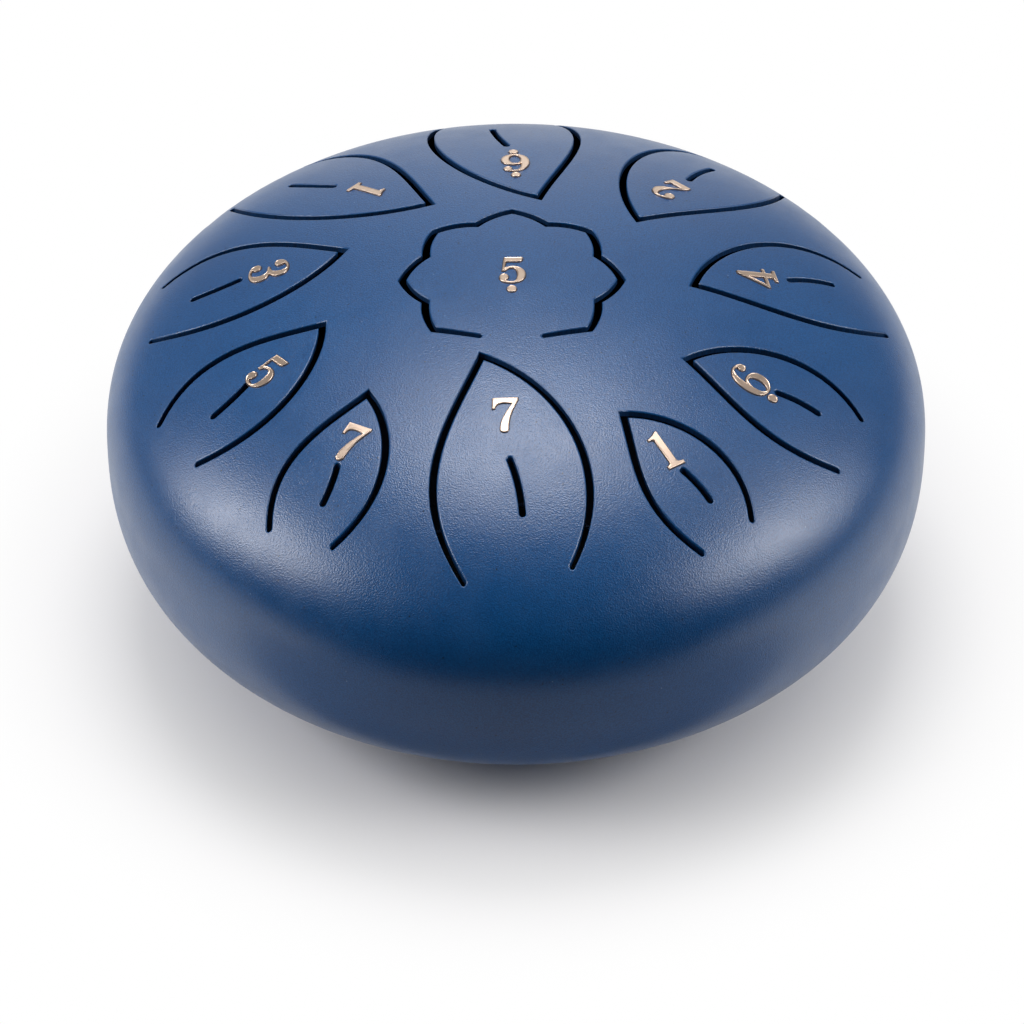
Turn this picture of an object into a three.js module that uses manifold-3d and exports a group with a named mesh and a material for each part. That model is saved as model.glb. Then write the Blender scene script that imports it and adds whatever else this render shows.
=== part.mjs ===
// Steel tongue drum: a pressed dome with eleven slotted tongues, welded to a bowl that has a sound hole.
// Millimetres, +Z up, the player at -Y. The origin is the centre of the footprint, on the table.

import * as THREE from 'three';
import { mergeVertices } from 'three/addons/utils/BufferGeometryUtils.js';
import Module from 'manifold-3d';

const wasm = await Module();
wasm.setup();

// Shells
const DRUM_RADIUS = 77.5;
const DOME_RISE = 36.6;
const BOWL_DROP = 37.8;
const WALL = 1.2;
const STAND_HEIGHT = 3;
const SOUND_HOLE_RADIUS = 18;

// Each shell's section is a superellipse: radius = cos(t) ** flank, height = sin(t) ** crown
const DOME_SECTION = { flank: 1.12, crown: 0.83 };
const BOWL_SECTION = { flank: 0.77, crown: 0.69 };

// Weld bead at the widest line, flush outside and proud inside
const WELD_HEIGHT = 1.2;
const WELD_ROOT = 0.5;

// Slots
const KERF = 1.4;
const FLEX_GAP = 0.3;

// Centre tongue: a flower of pointed lobes, its neck facing the player
const LOBE_COUNT = 8;
const LOBE_TIP_RADIUS = 20.4;
const LOBE_VALLEY_RADIUS = 17.3;
const LOBE_BULGE = 0.5;
const FLOWER_SHIFT_X = -0.8;

// Leaf tongues: one leaf shape, tip at (0, 0) and root at x = 1, drawn by a Bezier curve on either side
const LEAF_LEFT = [[0, 0], [0.2, 0.315], [0.665, 0.49], [1, 0.245]];
const LEAF_RIGHT = [[0, 0], [0.315, -0.16], [0.595, -0.415], [1, -0.2]];
const SLIT_START = [0.54, 0.05];
const SLIT_END = [0.78, 0.07];

// Numerals and dots, raised metal on the tongues
const NUMERAL_HEIGHT = 7.6;
const NUMERAL_THICKNESS = 0.5;
const DOT_RADIUS = 0.9;
const [BELOW, ABOVE] = [-1, 1];

// Rubber feet, evenly spaced on a circle
const FOOT_PLACES = ['back_right', 'back_left', 'front_left', 'front_right'];
const FOOT_CIRCLE_RADIUS = 38;
const FOOT_BASE_RADIUS = 6;
const FOOT_TOP_RADIUS = 7.5;
const FOOT_EDGE = 0.8;
const FOOT_FLARE_HEIGHT = 3.5;

// Clearance between pieces that are bonded or welded face to face
const BOND_GAP = 0.3;

// Facets
const TURN_STEPS = 56;
const FOOT_STEPS = 24;
const SECTION_STEPS = 11;
const ARM_STEPS = 9;
const LOBE_STEPS = 3;
const CAP_STEPS = 4;
const GLYPH_STEPS = 3;
const DOT_STEPS = 12;

// Each leaf: its length, as a share of the way from the flower's lobes to the rim, sets the pitch. The tip's
// place is an angle about the drum's axis and the share of the room left over that lies inside the tip;
// lean turns the leaf's axis from that angle. The numeral lies out along the axis and to the left of it, in
// shares of the leaf's length, with a clockwise tilt. A dot lies below or above its numeral, a gap away and
// some way across, in shares of the numeral's height.
const LEAVES = [
  { note: 'low_7', length: 0.778, angle: -106.3, lean: 23.7, innerShare: 0.18,
    numeral: { digit: '7', out: 0.327, aside: 0.065, tilt: 5 } },
  { note: 'high_1', length: 0.483, angle: -60.4, lean: 11.7, innerShare: 0.65,
    numeral: { digit: '1', out: 0.359, aside: 0.051, tilt: 7 } },
  { note: '6', length: 0.55, angle: -31.6, lean: 14, innerShare: 0.65,
    numeral: { digit: '6', out: 0.373, aside: 0.038, tilt: 10 },
    dots: [{ name: 'dot_6', side: BELOW, gap: 0.04, across: -0.105 }] },
  { note: '4', length: 0.644, angle: 2, lean: 16.6, innerShare: 0.63,
    numeral: { digit: '4', out: 0.364, aside: 0.046, tilt: 6 } },
  { note: '2', length: 0.701, angle: 40.9, lean: 16.1, innerShare: 0.59,
    numeral: { digit: '2', out: 0.355, aside: 0.048, tilt: 7 } },
  { note: 'low_6', length: 0.771, angle: 80.3, lean: 19.6, innerShare: 0.43,
    numeral: { digit: '6', out: 0.33, aside: 0.048, tilt: 6 },
    dots: [{ name: 'dot_low_6_inner', side: ABOVE, gap: 0.066, across: 0.026 },
      { name: 'dot_low_6_outer', side: BELOW, gap: 0.066, across: 0 }] },
  { note: '1', length: 0.722, angle: 123.4, lean: 17.9, innerShare: 0.57,
    numeral: { digit: '1', out: 0.345, aside: 0.039, tilt: 4 } },
  { note: '3', length: 0.636, angle: 160.1, lean: 21.3, innerShare: 0.68,
    numeral: { digit: '3', out: 0.386, aside: 0.05, tilt: 3 } },
  { note: '5', length: 0.569, angle: 194.8, lean: 18.9, innerShare: 0.68,
    numeral: { digit: '5', out: 0.422, aside: 0.068, tilt: -5 } },
  { note: '7', length: 0.508, angle: 226.5, lean: 18.2, innerShare: 0.68,
    numeral: { digit: '7', out: 0.372, aside: 0.069, tilt: 4 } },
];

// The flower's numeral is placed in shares of its lobes' radius
const FLOWER = {
  note: 'low_5',
  numeral: { digit: '5', out: -0.044, aside: 0.01, tilt: 0 },
  dots: [{ name: 'dot_low_5', side: BELOW, gap: 0.092, across: -0.026 }],
};

// Serif numerals on a grid 100 high and centred on x = 0: two numbers end a line, six end a Bezier curve
const GLYPHS = {
  1: { outline: [[-23, 0], [23, 0], [23, 8], [12, 9, 7, 10, 7, 19], [7, 100], [2, 100],
    [-5, 94, -14, 90, -26, 88], [-26, 83], [-16, 83, -12, 83, -12, 75], [-12, 19],
    [-12, 10, -16, 9, -23, 8]] },
  2: { outline: [[-35, 78], [-35, 91, -20, 100, -2, 100], [17, 100, 29, 89, 29, 73],
    [29, 57, 12, 48, 0, 38], [-6, 33, -10, 27, -12, 19], [-6, 18, 2, 18, 10, 18],
    [18, 17, 24, 20, 27, 30], [33, 30], [33, 20, 32, 10, 30, 0], [-28, 0], [-28, 8],
    [-20, 30, 9, 45, 9, 73], [9, 87, 4, 95, -4, 95], [-10, 95, -15, 93, -18, 89],
    [-13, 87, -10, 83, -10, 78], [-10, 70, -15, 66, -22, 66], [-30, 66, -35, 71, -35, 78]] },
  3: { outline: [[-37, 75], [-37, 90, -20, 100, 0, 100], [18, 100, 29, 90, 29, 77],
    [29, 65, 22, 57, 14, 52], [28, 48, 37, 40, 37, 27], [37, 11, 21, 0, 0, 0],
    [-20, 0, -33, 7, -33, 19], [-33, 26, -28, 30, -21, 30], [-14, 30, -9, 25, -9, 19],
    [-9, 14, -12, 11, -16, 9], [-11, 6, -6, 5, -2, 5], [10, 5, 15, 14, 15, 27],
    [15, 40, 8, 47, -6, 47], [-13, 47], [-17, 47, -17, 53, -13, 53], [-4, 54, 9, 58, 9, 77],
    [9, 90, 4, 95, -2, 95], [-10, 95, -16, 92, -20, 87], [-16, 85, -13, 81, -13, 76],
    [-13, 69, -18, 64, -25, 64], [-32, 64, -37, 69, -37, 75]] },
  4: { outline: [[11, 100], [-36, 33], [-36, 26], [3, 26], [3, 15], [3, 9, -2, 8, -10, 7], [-10, 0],
    [34, 0], [34, 7], [26, 8, 21, 9, 21, 15], [21, 26], [36, 26], [36, 34], [21, 34], [21, 100]],
  hole: [[-24, 34], [3, 34], [3, 73]] },
  5: { outline: [[-22, 100], [24, 100], [24, 90, 22, 82, 10, 82], [-18, 82], [-20, 58],
    [-14, 62, -7, 64, 0, 64], [18, 64, 31, 52, 31, 33], [31, 13, 16, 0, -4, 0],
    [-22, 0, -33, 9, -33, 22], [-33, 30, -28, 35, -22, 35], [-16, 35, -11, 30, -11, 24],
    [-11, 18, -14, 15, -18, 12], [-14, 7, -9, 5, -4, 5], [6, 5, 11, 15, 11, 33],
    [11, 48, 6, 57, -3, 57], [-9, 57, -14, 54, -19, 46], [-27, 46]] },
  6: { outline: [[34, 34], [34, 52, 22, 62, 6, 62], [-3, 62, -11, 59, -15, 53],
    [-15, 74, -9, 95, 6, 95], [9, 95, 12, 94, 14, 91], [11, 89, 10, 86, 10, 83],
    [10, 78, 14, 74, 20, 74], [26, 74, 31, 78, 31, 84], [31, 93, 20, 100, 6, 100],
    [-18, 100, -36, 75, -36, 42], [-36, 16, -22, 0, 0, 0], [20, 0, 34, 15, 34, 34]],
  hole: [[14, 31], [14, 43, 8, 55, 0, 55], [-9, 55, -15, 43, -15, 31], [-15, 17, -9, 6, 0, 6],
    [8, 6, 14, 17, 14, 31]] },
  7: { outline: [[-33, 100], [28, 100], [28, 93], [18, 72, 4, 48, 2, 8], [2, -3, -18, -3, -18, 8],
    [-18, 34, -2, 58, 13, 82], [-2, 85, -26, 90, -29, 68], [-35, 68]] },
};
const GLYPH_GRID = 100;

// Materials
const NAVY_PAINT = { color: 0x1b3a6b, roughness: 0.45, metalness: 0.2 };
const CHAMPAGNE_METAL = { color: 0xd9b99a, roughness: 0.3, metalness: 1 };
const BLACK_RUBBER = { color: 0x15161a, roughness: 0.85, metalness: 0 };

const HALF_KERF = KERF / 2;
const EQUATOR_Z = STAND_HEIGHT + BOWL_DROP;
const SHELL_EDGE = WELD_HEIGHT / 2 + BOND_GAP;
const toRadians = THREE.MathUtils.degToRad;

// Solids and meshes

function toSolid(geometry) {
  geometry.deleteAttribute('normal');
  geometry.deleteAttribute('uv');
  const merged = mergeVertices(geometry, 1e-4);
  const index = merged.index.array;
  const triangles = [];
  for (let i = 0; i < index.length; i += 3) {
    const [a, b, c] = [index[i], index[i + 1], index[i + 2]];
    if (a !== b && b !== c && c !== a) triangles.push(a, b, c);
  }
  const mesh = new wasm.Mesh({
    numProp: 3,
    vertProperties: merged.attributes.position.array,
    triVerts: Uint32Array.from(triangles),
  });
  return new wasm.Manifold(mesh);
}

function toMesh(name, solid, look) {
  const { vertProperties, triVerts } = solid.getMesh();
  const geometry = new THREE.BufferGeometry();
  geometry.setAttribute('position', new THREE.BufferAttribute(vertProperties, 3));
  geometry.setIndex(new THREE.BufferAttribute(triVerts, 1));
  geometry.computeVertexNormals();
  const mesh = new THREE.Mesh(geometry, new THREE.MeshStandardMaterial(look));
  mesh.name = name;
  return mesh;
}

// A solid of revolution about Z from (radius, height) points that run counter-clockwise
function turned(profile, steps = TURN_STEPS) {
  const geometry = new THREE.LatheGeometry(profile, steps);
  geometry.rotateX(Math.PI / 2);
  return toSolid(geometry);
}

// An upright prism of a plan outline, from the widest line to above the dome
function prism(shape) {
  const depth = DOME_RISE + BOND_GAP + 2 * NUMERAL_THICKNESS;
  const options = { depth, bevelEnabled: false, curveSegments: GLYPH_STEPS };
  return toSolid(new THREE.ExtrudeGeometry(shape, options));
}

// Shell sections

// The point of a section at angle t, moved outwards by an offset; t is 0 at the widest line
function sectionPoint(rise, section, t, offset) {
  const at = (angle) => {
    const radius = DRUM_RADIUS * Math.cos(angle) ** section.flank;
    const height = rise * Math.sin(angle) ** section.crown;
    return new THREE.Vector2(radius, height);
  };
  const small = 1e-3;
  const along = at(Math.min(t + small, Math.PI / 2)).sub(at(Math.max(t - small, 0))).normalize();
  const point = at(t).add(new THREE.Vector2(along.y, -along.x).multiplyScalar(offset));
  return new THREE.Vector2(Math.max(point.x, 0), point.y);
}

// Points from the edge height up to the crown, or to a hole's radius
function sectionLine(rise, section, offset, edge, holeRadius = 0) {
  const first = Math.asin((edge / rise) ** (1 / section.crown));
  const last = Math.acos((holeRadius / DRUM_RADIUS) ** (1 / section.flank));
  const points = [];
  for (let i = 0; i <= SECTION_STEPS; i += 1) {
    const t = first + (last - first) * (i / SECTION_STEPS);
    const point = sectionPoint(rise, section, t, offset);
    if (i === 0) point.y = edge;
    if (i === SECTION_STEPS) point.x = holeRadius;
    points.push(point);
  }
  return points;
}

// The dome's material between two offsets from its outer face
function domeLayer(outerOffset, innerOffset, edge) {
  const outer = sectionLine(DOME_RISE, DOME_SECTION, outerOffset, edge);
  const inner = sectionLine(DOME_RISE, DOME_SECTION, innerOffset, edge);
  return turned([...outer, ...inner.reverse(), outer[0].clone()]);
}

function bowlPoints(offset, edge, holeRadius) {
  const line = sectionLine(BOWL_DROP, BOWL_SECTION, offset, edge, holeRadius);
  return line.map((point) => new THREE.Vector2(point.x, -point.y));
}

function bowlShell() {
  const outer = bowlPoints(0, SHELL_EDGE, SOUND_HOLE_RADIUS).reverse();
  const inner = bowlPoints(-WALL, SHELL_EDGE, SOUND_HOLE_RADIUS);
  return turned([...outer, ...inner, outer[0].clone()]);
}

// All that the bowl's outside encloses, grown by the bond to its feet
function bowlBlank() {
  const outer = bowlPoints(BOND_GAP, 0, 0).reverse();
  return turned([...outer, new THREE.Vector2(0, 0)]);
}

// Plan outlines

function shapeOf(points, holes = []) {
  const shape = new THREE.Shape(points);
  shape.holes = holes.map((hole) => new THREE.Path(hole));
  return shape;
}

// A line moved to its left by a distance, with mitred corners
function offsetLine(points, distance) {
  return points.map((point, i) => {
    const before = points[Math.max(i - 1, 0)];
    const after = points[Math.min(i + 1, points.length - 1)];
    const arriving = i === 0 ? after.clone().sub(point) : point.clone().sub(before);
    const leaving = i === points.length - 1 ? arriving : after.clone().sub(point);
    const [n1, n2] = [arriving, leaving].map((way) => new THREE.Vector2(-way.y, way.x).normalize());
    const mitre = n1.clone().add(n2).multiplyScalar(distance / (1 + n1.dot(n2)));
    return point.clone().add(mitre);
  });
}

// Half a circle about a slot's end, turning counter-clockwise from one side of it to the other
function endCap(centre, startAngle, radius) {
  const points = [];
  for (let i = 1; i < CAP_STEPS; i += 1) {
    const angle = startAngle + (Math.PI * i) / CAP_STEPS;
    points.push(new THREE.Vector2(Math.cos(angle), Math.sin(angle)).multiplyScalar(radius).add(centre));
  }
  return points;
}

// A straight slit with round ends
function slitOutline(start, end) {
  const heading = end.clone().sub(start).angle();
  const side = new THREE.Vector2(-Math.sin(heading), Math.cos(heading)).multiplyScalar(HALF_KERF);
  return [
    start.clone().sub(side), end.clone().sub(side), ...endCap(end, heading - Math.PI / 2, HALF_KERF),
    end.clone().add(side), start.clone().add(side), ...endCap(start, heading + Math.PI / 2, HALF_KERF),
  ];
}

// A slot runs counter-clockwise round its tongue, from one side of the neck to the other. The opening in
// the dome has the slot's round ends; the tongue stops short of the line between them by the flex gap.
function tongueOutlines(slot) {
  const inner = offsetLine(slot, HALF_KERF);
  const outer = offsetLine(slot, -HALF_KERF);
  const last = slot.length - 1;
  const startHeading = slot[0].clone().sub(slot[1]).angle();
  const endHeading = slot[last].clone().sub(slot[last - 1]).angle();
  const opening = [
    ...outer, ...endCap(slot[last], endHeading - Math.PI / 2, HALF_KERF), inner[last],
    inner[0], ...endCap(slot[0], startHeading - Math.PI / 2, HALF_KERF),
  ];
  const root = [inner[0], inner[last]];
  const rootHeading = root[0].clone().sub(root[1]).angle();
  const inward = new THREE.Vector2(-Math.sin(rootHeading), Math.cos(rootHeading)).multiplyScalar(FLEX_GAP);
  const tongue = [root[0].clone().add(inward), ...inner.slice(1, last), root[1].clone().add(inward)];
  return { opening, tongue, root };
}

// A tongue's frame in plan: an origin, its reach, the way out towards the root, and the way to its left
function planFrame(origin, angle, reach) {
  const along = new THREE.Vector2(Math.cos(angle), Math.sin(angle));
  const left = new THREE.Vector2(-along.y, along.x);
  const place = (u, v) => origin.clone().addScaledVector(along, u).addScaledVector(left, v);
  return { place, reach };
}

function leafFrame(leaf) {
  const band = DRUM_RADIUS - LOBE_TIP_RADIUS;
  const tipRadius = LOBE_TIP_RADIUS + band * (1 - leaf.length) * leaf.innerShare;
  const tipAngle = toRadians(leaf.angle);
  const tip = new THREE.Vector2(Math.cos(tipAngle), Math.sin(tipAngle)).multiplyScalar(tipRadius);
  return planFrame(tip, tipAngle + toRadians(leaf.lean), band * leaf.length);
}

function leafSlot(frame) {
  const arm = (corners) => new THREE.CubicBezierCurve(...corners.map(([u, v]) => new THREE.Vector2(u, v)));
  const left = arm(LEAF_LEFT).getPoints(ARM_STEPS).reverse();
  const right = arm(LEAF_RIGHT).getPoints(ARM_STEPS).slice(1);
  return [...left, ...right].map((point) => frame.place(point.x * frame.reach, point.y * frame.reach));
}

function leafSlit(frame) {
  const at = ([u, v]) => frame.place(u * frame.reach, v * frame.reach);
  return slitOutline(at(SLIT_START), at(SLIT_END));
}

// The flower's slot: half lobes that bulge from each valley out to its tip, all but the lobe at the neck
function flowerSlot(frame) {
  const points = [];
  for (let i = LOBE_STEPS; i <= (2 * LOBE_COUNT - 1) * LOBE_STEPS; i += 1) {
    const halfLobes = i / LOBE_STEPS;
    const fromValley = Math.abs((halfLobes % 2) - 1);
    const share = fromValley + LOBE_BULGE * fromValley * (1 - fromValley);
    const radius = THREE.MathUtils.lerp(LOBE_VALLEY_RADIUS, LOBE_TIP_RADIUS, share);
    const angle = (Math.PI * halfLobes) / LOBE_COUNT;
    points.push(frame.place(radius * Math.cos(angle), radius * Math.sin(angle)));
  }
  return points;
}

// Numerals

function glyphPath(path, steps, place) {
  const scale = NUMERAL_HEIGHT / GLYPH_GRID;
  const at = (x, y) => place(x * scale, (y - GLYPH_GRID / 2) * scale);
  const [first, ...rest] = steps;
  const start = at(...first);
  path.moveTo(start.x, start.y);
  for (const step of rest) {
    const ends = [];
    for (let i = 0; i < step.length; i += 2) ends.push(at(step[i], step[i + 1]));
    const numbers = ends.flatMap((end) => [end.x, end.y]);
    if (ends.length === 1) path.lineTo(...numbers);
    else path.bezierCurveTo(...numbers);
  }
  return path;
}

function glyphShape(digit, place) {
  const { outline, hole } = GLYPHS[digit];
  const shape = glyphPath(new THREE.Shape(), outline, place);
  if (hole) shape.holes.push(glyphPath(new THREE.Path(), hole, place));
  return shape;
}

function dotShape(centre) {
  const points = [];
  for (let i = 0; i < DOT_STEPS; i += 1) {
    const angle = (2 * Math.PI * i) / DOT_STEPS;
    points.push(new THREE.Vector2(Math.cos(angle), Math.sin(angle)).multiplyScalar(DOT_RADIUS).add(centre));
  }
  return shapeOf(points);
}

// Across and up in the numeral's own tilted frame, whose up points to the tongue's tip
function numeralPlace(frame, numeral) {
  const tilt = toRadians(numeral.tilt);
  return (across, up) => {
    const out = across * Math.sin(tilt) - up * Math.cos(tilt);
    const left = across * Math.cos(tilt) + up * Math.sin(tilt);
    return frame.place(numeral.out * frame.reach + out, numeral.aside * frame.reach + left);
  };
}

// Assembly

const drum = new THREE.Group();
const body = new THREE.Group();
body.position.z = EQUATOR_Z;
drum.add(body);

const domeSheet = domeLayer(0, -WALL, SHELL_EDGE);
const numeralSheet = domeLayer(BOND_GAP + NUMERAL_THICKNESS, BOND_GAP, SHELL_EDGE);
let upperShell = domeSheet;

function addTongue(spec, frame, slot, slits) {
  const { opening, tongue, root } = tongueOutlines(slot);
  upperShell = upperShell.subtract(prism(shapeOf(opening)));
  const plate = domeSheet.intersect(prism(shapeOf(tongue, slits)));
  const mesh = toMesh(`tongue_${spec.note}`, plate, NAVY_PAINT);
  // The line in plan that the tongue bends about, between the two ends of its slot
  mesh.userData.flexLine = root;
  body.add(mesh);
  const place = numeralPlace(frame, spec.numeral);
  const numeral = numeralSheet.intersect(prism(glyphShape(spec.numeral.digit, place)));
  body.add(toMesh(`numeral_${spec.note}`, numeral, CHAMPAGNE_METAL));
  for (const { name, side, gap, across } of spec.dots ?? []) {
    const up = side * (NUMERAL_HEIGHT * (0.5 + gap) + DOT_RADIUS);
    const dot = numeralSheet.intersect(prism(dotShape(place(across * NUMERAL_HEIGHT, up))));
    body.add(toMesh(name, dot, CHAMPAGNE_METAL));
  }
}

const flowerFrame = planFrame(new THREE.Vector2(FLOWER_SHIFT_X, 0), -Math.PI / 2, LOBE_TIP_RADIUS);
addTongue(FLOWER, flowerFrame, flowerSlot(flowerFrame), []);
for (const leaf of LEAVES) {
  const frame = leafFrame(leaf);
  addTongue(leaf, frame, leafSlot(frame), [leafSlit(frame)]);
}
body.add(toMesh('upper_shell', upperShell, NAVY_PAINT));
body.add(toMesh('lower_shell', bowlShell(), NAVY_PAINT));

function seamWeld() {
  const [inside, outside] = [DRUM_RADIUS - WALL - WELD_ROOT, DRUM_RADIUS];
  const half = WELD_HEIGHT / 2;
  const corners = [[inside, -half], [outside, -half], [outside, half], [inside, half], [inside, -half]];
  return turned(corners.map(([radius, height]) => new THREE.Vector2(radius, height)));
}
body.add(toMesh('seam_weld', seamWeld(), NAVY_PAINT));

// A flared rubber foot, standing on the table and shaped on top to the bowl that it is stuck to
function rubberFoot(x, y) {
  const insideBowl = EQUATOR_Z - BOWL_DROP / 2;
  const corners = [
    [0, 0], [FOOT_BASE_RADIUS - FOOT_EDGE, 0], [FOOT_BASE_RADIUS, FOOT_EDGE],
    [FOOT_TOP_RADIUS, FOOT_FLARE_HEIGHT], [FOOT_TOP_RADIUS, insideBowl], [0, insideBowl],
  ];
  const blank = turned(corners.map(([radius, height]) => new THREE.Vector2(radius, height)), FOOT_STEPS);
  return blank.subtract(bowlBlank().translate([-x, -y, EQUATOR_Z]));
}

FOOT_PLACES.forEach((place, i) => {
  const angle = (2 * Math.PI * (i + 0.5)) / FOOT_PLACES.length;
  const [x, y] = [FOOT_CIRCLE_RADIUS * Math.cos(angle), FOOT_CIRCLE_RADIUS * Math.sin(angle)];
  const foot = toMesh(`foot_${place}`, rubberFoot(x, y), BLACK_RUBBER);
  foot.position.set(x, y, 0);
  drum.add(foot);
});

export default drum;
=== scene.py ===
"""Looks of a steel tongue drum: satin navy paint, slotted tongues and raised champagne numerals.

Sizes are in millimetres, as on the part, and turn to metres as each piece is made. +Z is up, and the player
and the camera are at -Y. In plan, a point is a complex number, x + iy.
"""

import math

import bpy
import numpy as np
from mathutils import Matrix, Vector
from mathutils.geometry import delaunay_2d_cdt


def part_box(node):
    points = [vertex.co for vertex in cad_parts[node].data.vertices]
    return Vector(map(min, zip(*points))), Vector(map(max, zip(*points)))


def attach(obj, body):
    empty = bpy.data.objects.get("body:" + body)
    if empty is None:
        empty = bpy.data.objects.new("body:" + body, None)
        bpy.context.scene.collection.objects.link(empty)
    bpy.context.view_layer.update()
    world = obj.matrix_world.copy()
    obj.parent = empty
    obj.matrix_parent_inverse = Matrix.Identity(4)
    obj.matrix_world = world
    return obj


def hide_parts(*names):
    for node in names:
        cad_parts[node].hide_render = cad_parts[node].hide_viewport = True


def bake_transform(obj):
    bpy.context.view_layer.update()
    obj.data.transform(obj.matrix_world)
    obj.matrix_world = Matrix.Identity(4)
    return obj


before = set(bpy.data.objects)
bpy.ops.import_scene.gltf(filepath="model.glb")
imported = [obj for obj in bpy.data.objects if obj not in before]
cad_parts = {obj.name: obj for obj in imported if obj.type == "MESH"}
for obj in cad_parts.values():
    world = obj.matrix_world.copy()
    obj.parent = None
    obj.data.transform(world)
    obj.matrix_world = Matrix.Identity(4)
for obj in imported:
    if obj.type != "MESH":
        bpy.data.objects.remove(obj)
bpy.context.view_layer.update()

MM = 0.001
STEM = "drum_body"

# Shells
weld_low, weld_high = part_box("seam_weld")
DRUM_RADIUS = weld_high.x / MM
EQUATOR_Z = (weld_low.z + weld_high.z) / 2 / MM
DOME_RISE = 36.6
BOWL_DROP = 37.8
WALL = 1.2
SOUND_HOLE_RADIUS = 18

# Each shell's section is a superellipse: radius = cos(t) ** flank, height = sin(t) ** crown
DOME_FLANK, DOME_CROWN = 1.12, 0.83
BOWL_FLANK, BOWL_CROWN = 0.77, 0.69

# Weld bead at the widest line, ground flush outside and rippled inside
WELD_HALF_HEIGHT = 0.6
WELD_ROOT = 0.5
WELD_RIPPLES = 150
WELD_RIPPLE_SHARE = 0.15

# Slots: half their width, which narrows to their ends, and the paint's rounding along their edges
LEAF_HALF_KERF = 0.68
FLOWER_HALF_KERF = 0.73
END_HALF_KERF = 0.48
TAPER_LENGTH = 14
EDGE_WIDTH = 0.3
EDGE_DEPTH = 0.24

# Centre tongue: a flower of pointed lobes, its neck facing the player
LOBE_COUNT = 8
LOBE_TIP_RADIUS = 20.4
LOBE_VALLEY_RADIUS = 17.3
LOBE_BULGE = 0.16
FLOWER_SHIFT_X = -0.8

# Leaf tongues: one leaf shape, tip at 0 and root at 1, drawn by a Bezier curve on either side
LEAF_LEFT = (0, 0.2 + 0.315j, 0.665 + 0.49j, 1 + 0.245j)
LEAF_RIGHT = (0, 0.315 - 0.16j, 0.595 - 0.415j, 1 - 0.2j)
SLIT_START = 0.54 + 0.05j
SLIT_END = 0.78 + 0.07j
SLIT_BOW = 0.035
SLIT_HALF_KERF = 0.62

# Numerals and dots: metal with a rounded rim round a dished face, a little sunk into the paint, and a dark
# line of painted contact shadow where it meets the paint
NUMERAL_HEIGHT = 7.6
DOT_RADIUS = 0.9
METAL_RIM = 0.1
METAL_HEIGHT = 0.3
METAL_BEVEL = 0.1
METAL_DISH = 0.05
METAL_DISH_WIDTH = 0.14
METAL_SINK = 0.05
LINE_WIDTH = 0.16
LINE_RISE = 0.04
LINE_SINK = METAL_SINK / 4
BELOW, ABOVE = -1, 1

# The rim's curve starts this share of its width in from the edge, since it would be upright there
RIM_START = 0.04

# Each leaf: note, body, length as a share of the way from the flower's lobes to the rim, the tip's angle
# and the share of the room left over that lies inside it, the lean of the leaf's axis from that angle, and
# how much of the slot's right arm is cut. The numeral lies out along the axis and to the left of it, in
# shares of the leaf's length, with a tilt.
LEAVES = [
    dict(note="low_7", body="low_7", length=0.778, angle=-106.3, lean=23.7, inner=0.18, right=1,
         digit="7", at=0.327 + 0.065j, tilt=5),
    dict(note="high_1", body="high_1", length=0.483, angle=-60.4, lean=11.7, inner=0.65, right=1,
         digit="1", at=0.359 + 0.051j, tilt=7),
    dict(note="6", body="note_6", length=0.55, angle=-31.6, lean=14, inner=0.65, right=0.985,
         digit="6", at=0.373 + 0.038j, tilt=10),
    dict(note="4", body="note_4", length=0.644, angle=2, lean=16.6, inner=0.63, right=0.98,
         digit="4", at=0.364 + 0.046j, tilt=6),
    dict(note="2", body="note_2", length=0.701, angle=40.9, lean=16.1, inner=0.59, right=0.98,
         digit="2", at=0.355 + 0.048j, tilt=7),
    dict(note="low_6", body="low_6", length=0.771, angle=80.3, lean=19.6, inner=0.43, right=1,
         digit="6", at=0.33 + 0.048j, tilt=6),
    dict(note="1", body="note_1", length=0.722, angle=123.4, lean=17.9, inner=0.57, right=1,
         digit="1", at=0.345 + 0.039j, tilt=4),
    dict(note="3", body="note_3", length=0.636, angle=160.1, lean=21.3, inner=0.68, right=0.95,
         digit="3", at=0.386 + 0.05j, tilt=3),
    dict(note="5", body="note_5", length=0.569, angle=194.8, lean=18.9, inner=0.68, right=0.98,
         digit="5", at=0.422 + 0.068j, tilt=-5),
    dict(note="7", body="note_7", length=0.508, angle=226.5, lean=18.2, inner=0.68, right=0.979,
         digit="7", at=0.372 + 0.069j, tilt=4),
]
FLOWER = dict(note="low_5", body="low_5", digit="5", at=-0.044 + 0.01j, tilt=0)

# Dots by note: node, side of the numeral, gap to it and place across, in shares of the numeral's height
DOTS = {
    "low_5": [("dot_low_5", BELOW, 0.092, -0.026)],
    "6": [("dot_6", BELOW, 0.04, -0.105)],
    "low_6": [("dot_low_6_inner", ABOVE, 0.066, 0.026), ("dot_low_6_outer", BELOW, 0.066, 0)],
}

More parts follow.
